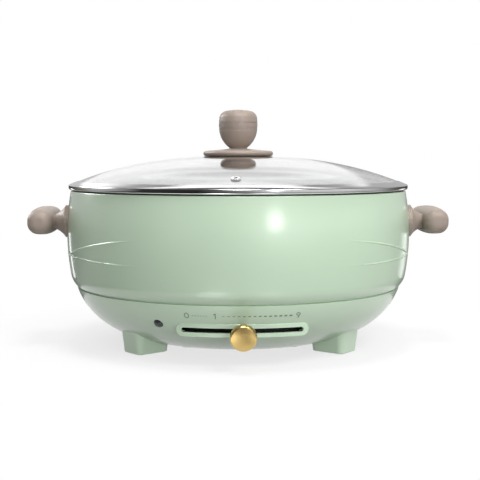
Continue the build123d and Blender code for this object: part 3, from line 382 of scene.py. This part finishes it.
def dome_normal(tree):
    """Normal of the glass's own curve: upwards on its upper face, downwards on its lower one."""
    place = tree.nodes.new("GeometryNodeInputPosition").outputs["Position"]
    x, y, z = add(tree, "SeparateXYZ", {"Vector": place}).outputs
    arm = add(tree, "CombineXYZ", {"X": x, "Y": y}).outputs[0]
    reach = vectors(tree, "LENGTH", arm, result="Value")
    share = maths(tree, "DIVIDE", reach, GLASS_EDGE_RADIUS * MM)
    drop = maths(tree, "MULTIPLY", maths(tree, "POWER", share, DOME_FULLNESS), DOME_DROP * MM)
    crown = maths(tree, "ADD", z, drop)     # the face's height, carried to its middle
    upper = maths(tree, "GREATER_THAN", crown, (GLASS_TOP - GLASS_THICKNESS / 2) * MM)
    side = maths(tree, "MULTIPLY", centred(tree, upper), 2.0)
    bend = maths(tree, "POWER", share, DOME_FULLNESS - 1)
    fall = maths(tree, "MULTIPLY", bend, DOME_DROP * DOME_FULLNESS / GLASS_EDGE_RADIUS)
    lean = scaled(tree, vectors(tree, "NORMALIZE", arm), fall)
    up = vectors(tree, "NORMALIZE", vectors(tree, "ADD", lean, (0, 0, 1)))
    return scaled(tree, up, side)


def true_dome(glass_piece):
    """Lights the glass by its own curve, so that its facets don't wave. Its mesh stays as it is."""
    tree = bpy.data.node_groups.new("True Dome", "GeometryNodeTree")
    for way in ("INPUT", "OUTPUT"):
        tree.interface.new_socket("Glass", in_out=way, socket_type="NodeSocketGeometry")
    entry = tree.nodes.new("NodeGroupInput")
    shading = tree.nodes.new("GeometryNodeSetMeshNormal")
    leave = tree.nodes.new("NodeGroupOutput")
    shading.mode = "TANGENT_SPACE"
    shading.domain = "POINT"
    tree.links.new(entry.outputs["Glass"], shading.inputs["Mesh"])
    tree.links.new(dome_normal(tree), shading.inputs["Custom Normal"])
    tree.links.new(shading.outputs["Mesh"], leave.inputs["Glass"])
    glass_piece.modifiers.new("true_dome", "NODES").node_group = tree


true_dome(nodes["lid_glass"])

# ---------------------------------------------------------------- rim ring with rolled edges


def dressed(name, corners, faces, finish, body, slot, sharp_angle=None):
    """New piece of a mesh in metres, which rides on a body; smooth where a sharp angle is given."""
    mesh = bpy.data.meshes.new(name)
    mesh.from_pydata(corners, [], faces)
    if sharp_angle:
        mesh.shade_smooth()
        mesh.set_sharp_from_angle(angle=radians(sharp_angle))
    mesh.materials.append(finish)
    piece = bpy.data.objects.new(name, mesh)
    bpy.context.scene.collection.objects.link(piece)
    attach(piece, body)
    return piece


def arc(centre, radius, start, end, steps=5):
    """Points of an arc in the half section."""
    points = []
    for index in range(steps + 1):
        angle = radians(start + (end - start) * index / steps)
        points.append((centre[0] + radius * cos(angle), centre[1] + radius * sin(angle)))
    return points


def turned(profile, steps=240):
    """Corners and faces of a closed profile of (radius, height) in mm, turned about the axis."""
    count = len(profile)
    corners, faces = [], []
    for index in range(steps):
        angle = 2 * pi * index / steps
        corners += [(r * cos(angle) * MM, r * sin(angle) * MM, z * MM) for r, z in profile]
        here, after = index * count, (index + 1) % steps * count
        for point in range(count):
            other = (point + 1) % count
            faces.append((here + point, after + point, after + other, here + other))
    return corners, faces


def on_glass(radii, lift):
    """Points that stand a lift above the glass."""
    return [(radius, glass_height(radius) + lift) for radius in radii]


SKIRT_BEND = 0.8                            # radius where the skirt meets the ring's floor
BOTTOM_ROLL = 1.9                           # rolled edges of the ring's side
TOP_ROLL = 1.0
TOP_ROLL_DROP = 1.95                        # middle of the top roll under the ring's top
TOP_ROLL_END = 64                           # degrees, where the roll runs out in the lip
SIDE_START = 2.05                           # flat of the side, above the bottom and under the top
SIDE_END = 2.1
LIP_LIFT = 0.55                             # lip's face above the glass
LIP_FACE_START = 0.4                        # where it starts, out from the lip's inner edge
LIP_EDGE_LIFT = 0.25                        # the inner edge above the glass
LIP_BACK_START = 0.2
LIP_CLEARANCE = 0.03                        # lip's back above the glass
LIP_RADII = (161.5, 163.5)                  # places where the lip follows the dome
LIP_FACE_END = 165.2
LIP_BACK_END = 165.6
GLASS_CLEARANCE = 0.2                       # ring's inside round the glass edge

inner_face = GLASS_EDGE_RADIUS + GLASS_CLEARANCE
skirt_bend_centre = (RING_SKIRT_RADIUS + SKIRT_BEND, RING_BOTTOM - SKIRT_BEND)
rim_profile = (
    [(RING_SKIRT_RADIUS - RING_SHEET, RING_SKIRT_BOTTOM), (RING_SKIRT_RADIUS, RING_SKIRT_BOTTOM)]
    + arc(skirt_bend_centre, SKIRT_BEND, 180, 90)
    + arc((RING_RADIUS - BOTTOM_ROLL, RING_BOTTOM + BOTTOM_ROLL), BOTTOM_ROLL, -90, 0, 10)
    + [(RING_RADIUS, RING_BOTTOM + SIDE_START), (RING_RADIUS, RING_TOP - SIDE_END)]
    + arc((RING_RADIUS - TOP_ROLL, RING_TOP - TOP_ROLL_DROP), TOP_ROLL, 0, TOP_ROLL_END, 8)
    + on_glass((LIP_FACE_END, *reversed(LIP_RADII), RING_LIP_INNER + LIP_FACE_START), LIP_LIFT)
    + on_glass((RING_LIP_INNER,), LIP_EDGE_LIFT)
    + on_glass((RING_LIP_INNER + LIP_BACK_START, *LIP_RADII, LIP_BACK_END), LIP_CLEARANCE)
    + on_glass((inner_face,), -GLASS_CLEARANCE)
    + [(inner_face, RING_BOTTOM + RING_SHEET)]
    + arc(skirt_bend_centre, SKIRT_BEND + RING_SHEET, 90, 180)
)
rolled_rim = dressed(
    "rolled_rim_ring", *turned(rim_profile), rim_steel, "lid", "polished_steel", sharp_angle=40
)
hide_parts("lid_rim_ring")

# ---------------------------------------------------------------- heat scale, printed on the bowl

SCALE_HEIGHT = 47.2
PRINT_DEPTH = 0.15                          # of the ink's underside in the skin
PRINT_THICKNESS = 0.12
FIGURE_WEIGHT = 0.8                         # of the figures' strokes
STRIP_LENGTH = 1.5                          # of a straight stroke before it bends with the skin
LEADER_DOTS = 6
LEADER_START = -6.0
LEADER_PITCH = 2.4
LEADER_DOT = (1.5, 0.3)                     # width and height
DASHES = 14
DASH_START = -96.2                          # azimuth of the first dash, in degrees
DASH_SWEEP = 21.6                           # from the first to the last
DASH_WIDTH = 2.0                            # of the first
DASH_WIDTH_GAIN = 0.7                       # by the last
DASH_HEIGHT = 0.45
DASH_HEIGHT_GAIN = 1.15


def bowl_section(height):
    """Share of the bowl's half height and of its half width, and the skin's radius, at a height."""
    share = (height - BOWL_CENTRE_HEIGHT) / BOWL_HALF_HEIGHT
    level = sqrt(1 - share**2)
    return share, level, BOWL_CENTRE_RADIUS + BOWL_HALF_WIDTH * level


def bowl_point(azimuth, height, lift):
    """Point above the bowl's skin, in metres."""
    share, level, radius = bowl_section(height)
    slant = Vector((level / BOWL_HALF_WIDTH, share / BOWL_HALF_HEIGHT)).normalized()
    radius += slant.x * lift
    height += slant.y * lift
    turn = radians(azimuth)
    return Vector((radius * cos(turn), radius * sin(turn), height)) * MM


def printed(name, flat, azimuth):
    """Print on the bowl from flat faces: lists of (across, up) corners in mm about its place."""
    share, level, radius = bowl_section(SCALE_HEIGHT)
    steep = atan2(BOWL_HALF_HEIGHT * level, -share * BOWL_HALF_WIDTH)
    corners, faces = [], []
    for outline in flat:
        start, count = len(corners), len(outline)
        for lift in (-PRINT_DEPTH, PRINT_THICKNESS):
            for across, up in outline:
                height = SCALE_HEIGHT + up * sin(steep)
                corners.append(bowl_point(azimuth + degrees(across / radius), height, lift))
        faces.append([start + count + index for index in range(count)])
        faces.append([start + index for index in reversed(range(count))])
        for index in range(count):
            here, after = start + index, start + (index + 1) % count
            faces.append([here, after, count + after, count + here])
    dressed(name, corners, faces, scale_ink, "base", "black_plastic")


def bar(across, up, width, height):
    """Straight stroke, cut in short strips so that it follows the skin."""
    steps = max(1, round(width / STRIP_LENGTH))
    low, high = up - height / 2, up + height / 2
    strips = []
    for index in range(steps):
        left = across - width / 2 + width * index / steps
        right = left + width / steps
        strips.append([(left, low), (right, low), (right, high), (left, high)])
    return strips


def oval(width, height, up=0.0, steps=20):
    """Strokes of an oval: the nought, or the nine's head."""
    half_width, half_height = width / 2, height / 2
    inner_width, inner_height = half_width - FIGURE_WEIGHT, half_height - FIGURE_WEIGHT
    strokes = []
    for index in range(steps):
        pair = [2 * pi * index / steps, 2 * pi * (index + 1) / steps]
        outer = [(half_width * cos(a), half_height * sin(a) + up) for a in pair]
        inner = [(inner_width * cos(a), inner_height * sin(a) + up) for a in reversed(pair)]
        strokes.append(outer + inner)
    return strokes


ONE_FLAG = [(-1.5, 1.6), (-1.0, 1.0), (0.4, 2.0), (0.4, 2.9)]
NINE_TAIL = [(1.2, 1.0), (2.0, 1.2), (0.6, -2.9), (-0.4, -2.9)]
printed("scale_zero", oval(4.4, 5.8), -108.1)
printed("scale_one", bar(0.4, 0, 0.85, 5.8) + [ONE_FLAG], -98.9)
printed("scale_nine", oval(4.0, 3.5, up=1.2) + [NINE_TAIL], -72.1)
leader = []
for index in range(LEADER_DOTS):
    leader += bar(LEADER_START + LEADER_PITCH * index, 0, *LEADER_DOT)
printed("scale_leader", leader, -103.8)
for index in range(DASHES):
    share = index / (DASHES - 1)
    width, height = DASH_WIDTH + DASH_WIDTH_GAIN * share, DASH_HEIGHT + DASH_HEIGHT_GAIN * share
    dash = bar(0, 0, width, height)
    printed(f"scale_dash_{index + 1}", dash, DASH_START + share * DASH_SWEEP)

# ---------------------------------------------------------------- floor and surroundings

FLOOR_REACH = 12.0
FLOOR_LIGHTING = (0.22, 0.22, 0.22, 1)      # what the floor throws back on the object
FLOOR_SHOWN = (0.86, 0.86, 0.86, 1)
SHADOW_START = 0.12                         # the shadow fades out between these distances
SHADOW_END = 0.32
WHITE_SHARE = 0.72                          # plain white in the floor near the object
SKY_LEFT = 0.22
SKY_RIGHT = 0.72


def plain_material(name, build):
    made = bpy.data.materials.new(name)
    made.use_nodes = True
    made.node_tree.nodes.clear()
    build(made.node_tree)
    return made


def unseen_or(tree, unseen, shown):
    """Mixes what rays of sight, mirror and glass meet with what only lights the object."""
    rays = add(tree, "LightPath").outputs
    sight = maths(tree, "MAXIMUM", rays["Is Camera Ray"], rays["Is Glossy Ray"])
    sight = maths(tree, "MAXIMUM", sight, rays["Is Transmission Ray"])
    return add(tree, "MixShader", {0: sight, 1: unseen, 2: shown}).outputs[0]


def floor_shader(tree):
    """Floor that keeps a faint shadow near the object and turns plain white further out."""
    leave = tree.nodes.new("ShaderNodeOutputMaterial")
    matt = add(tree, "BsdfDiffuse", {"Color": FLOOR_LIGHTING}).outputs[0]
    pale = add(tree, "BsdfDiffuse", {"Color": FLOOR_SHOWN}).outputs[0]
    white = add(tree, "Emission", {"Color": WHITE, "Strength": 1.0}).outputs[0]
    place = add(tree, "NewGeometry").outputs["Position"]
    away = add(tree, "VectorMath", {0: place}, operation="LENGTH").outputs["Value"]
    far = carried(tree, away, SHADOW_START, SHADOW_END, WHITE_SHARE, 1.0)
    shown = add(tree, "MixShader", {0: far, 1: pale, 2: white}).outputs[0]
    tree.links.new(unseen_or(tree, matt, shown), leave.inputs["Surface"])


floor_mesh = bpy.data.meshes.new("floor")
floor_corners = [
    (x * FLOOR_REACH, y * FLOOR_REACH, 0) for x, y in ((-1, -1), (1, -1), (1, 1), (-1, 1))
]
floor_mesh.from_pydata(floor_corners, [], [(0, 1, 2, 3)])
floor_mesh.materials.append(plain_material("Studio Floor", floor_shader))
floor = bpy.data.objects.new("studio_floor", floor_mesh)
bpy.context.scene.collection.objects.link(floor)

world = bpy.data.worlds.new("Studio")
bpy.context.scene.world = world
world.use_nodes = True
sky = world.node_tree
sky.nodes.clear()
towards = add(sky, "SeparateXYZ", {"Vector": add(sky, "TexCoord").outputs["Generated"]})
lean = carried(sky, towards.outputs["X"], -1.0, 1.0, SKY_LEFT, SKY_RIGHT)
lit = add(sky, "Background", {"Color": WHITE, "Strength": lean}).outputs[0]
plain = add(sky, "Background", {"Color": WHITE, "Strength": 1.0}).outputs[0]
sky_leave = sky.nodes.new("ShaderNodeOutputWorld")
sky.links.new(unseen_or(sky, lit, plain), sky_leave.inputs["Surface"])

# ---------------------------------------------------------------- what the mirrors meet

# In the tables of the wall, azimuths are in degrees off the front, leftwards negative.
WALL_DISTANCE = 2.6
WALL_AZIMUTHS = range(-180, 181)
WALL_HEIGHTS = (
    [0.09] + [0.12 + 0.04 * step for step in range(40)] + [1.9, 2.0, 2.1, 2.5, 2.75, 3.2]
)
# brightness near the floor, by azimuth
WALL_SIDES = (
    (-180, 0.03), (-150, 0.03), (-136, 0.12), (-120, 0.45), (-106, 0.58), (-90, 0.5), (-78, 0.35),
    (-64, 0.05), (-26, 0.03), (-12, 0.16), (4, 0.42), (18, 0.95), (70, 1.0), (92, 0.62),
    (116, 0.22), (130, 0.06), (180, 0.03),
)
# brightness above that in front, and the heights where it takes over
WALL_FRONT = 0.12
FRONT_BLEND = ((0.42, 0), (0.56, 1))
# the same behind, where it depends on the height and stands in a grey V
WALL_BACK = (
    (0.1, 1.0), (0.5, 1.15), (0.8, 1.25), (1.3, 1.4), (1.6, 1.0), (2.0, 0.45), (2.5, 0.35),
    (2.75, 1.5),
)
BACK_BLEND = ((0.1, 0), (0.15, 1))
BACK_START = 110
# each edge of the V: a place in degrees off the rear, its height there, its rise, and the grey
V_RIGHT = (8.1, 0.39, 0.08, 0.5)
V_LEFT = (12.2, 0.47, 0.068, 0.6)
V_LOWEST = 0.2
V_SOFTNESS = ((-0.04, 0), (0.05, 1))
# skirt on the floor: its share of the wall's brightness, and its share of a plain tone
SKIRT_START = 0.25
SKIRT_LOW = 0.002
SKIRT_TOP = 0.05
SKIRT_FRONT = ((80, 0.4), (110, 1))
SKIRT_BACK = ((95, 0), (125, 1))
SKIRT_TONE = 0.1
CEILING_HEIGHT = 3.21
CEILING_TONE = 0.12
JOINT = 0.02                                # keeps the skirt off the wall and closes the ceiling


def along(table, value):
    """Value read from a table of (place, value), straight in between."""
    if value <= table[0][0]:
        return table[0][1]
    for (low, first), (high, second) in zip(table, table[1:]):
        if value <= high:
            return first + (second - first) * (value - low) / (high - low)
    return table[-1][1]


def wall_shade(azimuth, height):
    """Bands by side near the floor; behind, a bright field that stands in a grey V."""
    side = along(WALL_SIDES, azimuth)
    if abs(azimuth) < BACK_START:
        upper, blend = WALL_FRONT, along(FRONT_BLEND, height)
    else:
        start, foot, rise, grey = V_RIGHT if azimuth > 0 else V_LEFT
        edge = max(foot + rise * (180 - abs(azimuth) - start), V_LOWEST)
        inside = along(V_SOFTNESS, height - edge)
        upper = grey + (along(WALL_BACK, height) - grey) * inside
        blend = along(BACK_BLEND, height)
    return side + (upper - side) * blend


def cloth_shade(azimuth, height):
    """Brightness of the wall, of its skirt on the floor, or of the ceiling."""
    if height >= CEILING_HEIGHT:
        return CEILING_TONE
    shade = wall_shade(azimuth, height)
    if height <= SKIRT_TOP:
        shade += (SKIRT_TONE - shade) * along(SKIRT_BACK, abs(azimuth))
        shade *= along(SKIRT_FRONT, abs(azimuth))
    return shade


FIRST_REFLECTION = 1.5                      # the ray depth is lower than this


def glowing(name, corners, faces, shades, sheer=False):
    """Stage piece that only mirrors meet, as bright as each corner's shade.

    A sheer one adds to what is behind it, and only in a first reflection.
    """
    mesh = bpy.data.meshes.new(name)
    mesh.from_pydata(corners, [], faces)
    mesh.attributes.new("shade", "FLOAT", "POINT").data.foreach_set("value", shades)

    def cloth(tree):
        leave = tree.nodes.new("ShaderNodeOutputMaterial")
        shade = add(tree, "Attribute", attribute_name="shade").outputs["Fac"]
        if sheer:
            depth = add(tree, "LightPath").outputs["Ray Depth"]
            first = maths(tree, "LESS_THAN", depth, FIRST_REFLECTION)
            shade = maths(tree, "MULTIPLY", shade, first)
        glow = add(tree, "Emission", {"Color": WHITE, "Strength": shade}).outputs[0]
        if sheer:
            clear = add(tree, "BsdfTransparent").outputs[0]
            glow = add(tree, "AddShader", {0: glow, 1: clear}).outputs[0]
        tree.links.new(glow, leave.inputs["Surface"])

    mesh.materials.append(plain_material(name, cloth))
    piece = bpy.data.objects.new(name, mesh)
    piece.visible_camera = False
    piece.visible_transmission = False
    piece.visible_diffuse = False
    piece.visible_shadow = False
    bpy.context.scene.collection.objects.link(piece)


def glowing_rows(name, rows, shades, sheer=False):
    """Glowing cloth between rows of corners, with a row of shades for each."""
    count = len(rows[0])
    starts = [level * count + index for level in range(len(rows) - 1) for index in range(count - 1)]
    faces = [(start, start + 1, start + count + 1, start + count) for start in starts]
    glowing(name, sum(rows, []), faces, sum(shades, []), sheer)


def studio_wall():
    """Round wall, its skirt on the floor and a ceiling, for the polished metal and the glass."""
    levels = [(SKIRT_START, SKIRT_LOW), (WALL_DISTANCE - JOINT, SKIRT_TOP)]
    levels += [(WALL_DISTANCE, height) for height in WALL_HEIGHTS]
    levels += [(WALL_DISTANCE, CEILING_HEIGHT), (JOINT / 2, CEILING_HEIGHT)]
    turns = [radians(azimuth - 90) for azimuth in WALL_AZIMUTHS]
    rows = [
        [(reach * cos(turn), reach * sin(turn), height) for turn in turns]
        for reach, height in levels
    ]
    shades = [
        [cloth_shade(azimuth, height) for azimuth in WALL_AZIMUTHS] for reach, height in levels
    ]
    glowing_rows("studio_wall", rows, shades)


def outward(azimuth, elevation):
    """Direction by its azimuth from +X and its elevation, in degrees."""
    turn, rise = radians(azimuth), radians(elevation)
    return Vector((cos(turn) * cos(rise), sin(turn) * cos(rise), sin(rise)))


def sideways(azimuth):
    """Level direction at right angles to an azimuth."""
    return Vector((-sin(radians(azimuth)), cos(radians(azimuth)), 0))


OBJECT_MIDDLE = Vector((0, 0, 0.1))
DISC_RINGS = 8
DISC_STEPS = 48
DISC_FADE = 1.5                             # higher is a smaller bright middle


def glow_disc(name, azimuth, elevation, distance, radius, strength):
    """Round soft glow that fades from its middle to its edge."""
    away, across = outward(azimuth, elevation), sideways(azimuth)
    up = away.cross(across)
    middle = away * distance + OBJECT_MIDDLE
    corners, shades = [middle], [strength]
    for ring in range(1, DISC_RINGS + 1):
        share = ring / DISC_RINGS
        for index in range(DISC_STEPS):
            angle = 2 * pi * index / DISC_STEPS
            arm = (across * cos(angle) + up * sin(angle)) * (radius * share)
            corners.append(middle + arm)
            shades.append(strength * (0.5 + 0.5 * cos(pi * share)) ** DISC_FADE)
    faces = [(0, 1 + index, 1 + (index + 1) % DISC_STEPS) for index in range(DISC_STEPS)]
    for ring in range(DISC_RINGS - 1):
        inner, outer = 1 + ring * DISC_STEPS, 1 + (ring + 1) * DISC_STEPS
        for index in range(DISC_STEPS):
            after = (index + 1) % DISC_STEPS
            faces.append((inner + index, outer + index, outer + after, inner + after))
    glowing(name, corners, faces, shades, sheer=True)


STRIP_DISTANCE = 0.40
STRIP_TOP = 0.135
STRIP_PROFILE = ((-1, 0.0), (-0.2, 1.0), (0.2, 1.0), (1, 0.0))      # brightness across its width


def glow_strip(name, azimuth, width, strength):
    """Upright strip behind the object that fades to its sides, for the lines along the body."""
    middle = outward(azimuth, 0) * STRIP_DISTANCE
    across = sideways(azimuth) * (width / 2)
    places = [middle + across * side for side, share in STRIP_PROFILE]
    rows = [[(place.x, place.y, height) for place in places] for height in (0.0, STRIP_TOP)]
    glowing_rows(name, rows, [[strength * share for side, share in STRIP_PROFILE]] * 2, sheer=True)


KNOB_CARD_HEIGHT = 0.005
KNOB_CARD_EDGES = (-0.2, -0.29)
# brightness across its width
KNOB_CARD = (
    (-0.08, 2.2), (-0.045, 3.2), (-0.03, 2.2), (-0.015, 1.1), (0.0, 0.75), (0.01, 0.5),
    (0.02, 0.62), (0.032, 1.3), (0.045, 1.8), (0.08, 1.4),
)


def knob_card():
    """Card on the floor in front of the slider knob."""
    rows = [[(x, y, KNOB_CARD_HEIGHT) for x, shade in KNOB_CARD] for y in KNOB_CARD_EDGES]
    glowing_rows("knob_card", rows, [[shade for x, shade in KNOB_CARD]] * 2)


# name, azimuth, elevation, distance, radius, strength
GLOWS = (
    ("front_glow", -69, 7.4, 2.0, 0.34, 14.0),
    ("key_glow", -52, 46, 2.2, 0.55, 16.0),
    ("top_glow", -90, 80, 1.8, 0.5, 24.0),
    ("crease_glow", -90, 40, 1.7, 0.45, 26.0),
    ("left_crease_glow", 152, 26, 1.8, 0.75, 20.0),
)
studio_wall()
for glow in GLOWS:
    glow_disc(*glow)
glow_strip("left_strip", 142, 0.05, 3.0)
glow_strip("right_strip", 30, 0.14, 1.5)
knob_card()

# ---------------------------------------------------------------- lamps

# name, azimuth, elevation, distance, width, height, power, what it faces
SOFTBOXES = (
    ("front_softbox", -64, 4, 2.3, 1.6, 0.5, 17.0, OBJECT_MIDDLE),
    ("key_softbox", -52, 46, 2.2, 0.8, 0.8, 19.0, OBJECT_MIDDLE),
    ("foot_softbox", -128, 5, 1.6, 0.5, 0.3, 3.6, Vector((-0.09, -0.08, 0.02))),
    ("back_softbox", 78, 24, 2.3, 1.4, 0.8, 10.0, OBJECT_MIDDLE),
    ("top_softbox", -90, 84, 1.8, 0.45, 0.45, 16.0, OBJECT_MIDDLE),
)


def softbox(name, azimuth, elevation, distance, width, height, power, aim):
    """Area light on the object; the soft glows stand for it in mirrors and glass."""
    lamp = bpy.data.lights.new(name, "AREA")
    lamp.shape = "RECTANGLE"
    lamp.size = width
    lamp.size_y = height
    lamp.energy = power
    holder = bpy.data.objects.new(name, lamp)
    holder.visible_transmission = False
    holder.visible_glossy = False
    place = outward(azimuth, elevation) * distance + aim
    holder.location = place
    holder.rotation_euler = (aim - place).to_track_quat("-Z", "Y").to_euler()
    bpy.context.scene.collection.objects.link(holder)


for box in SOFTBOXES:
    softbox(*box)

# ---------------------------------------------------------------- camera

CAMERA_DISTANCE = 1.0
CAMERA_AZIMUTH = -91.5
CAMERA_HEIGHT = 0.1824
FOCAL_PIXELS = 1000.0
IMAGE_SIDE = 480
AXIS_COLUMN = 238.2                         # pixel column of the pot's axis
HORIZON_ROW = 157.5

camera_data = bpy.data.cameras.new("camera")
camera_data.sensor_fit = "HORIZONTAL"
camera_data.sensor_width = 36.0
camera_data.lens = FOCAL_PIXELS / IMAGE_SIDE * camera_data.sensor_width
camera_data.clip_end = 100
camera = bpy.data.objects.new("camera", camera_data)
turn = radians(CAMERA_AZIMUTH)
camera.location = (CAMERA_DISTANCE * cos(turn), CAMERA_DISTANCE * sin(turn), CAMERA_HEIGHT)
tilt = atan2(IMAGE_SIDE / 2 - HORIZON_ROW, FOCAL_PIXELS)
pan = atan2(IMAGE_SIDE / 2 - AXIS_COLUMN, FOCAL_PIXELS)
camera.rotation_euler = (pi / 2 - tilt, 0, turn + pi / 2 - pan)
bpy.context.scene.collection.objects.link(camera)
bpy.context.scene.camera = camera
bpy.context.scene.view_settings.view_transform = "Standard"
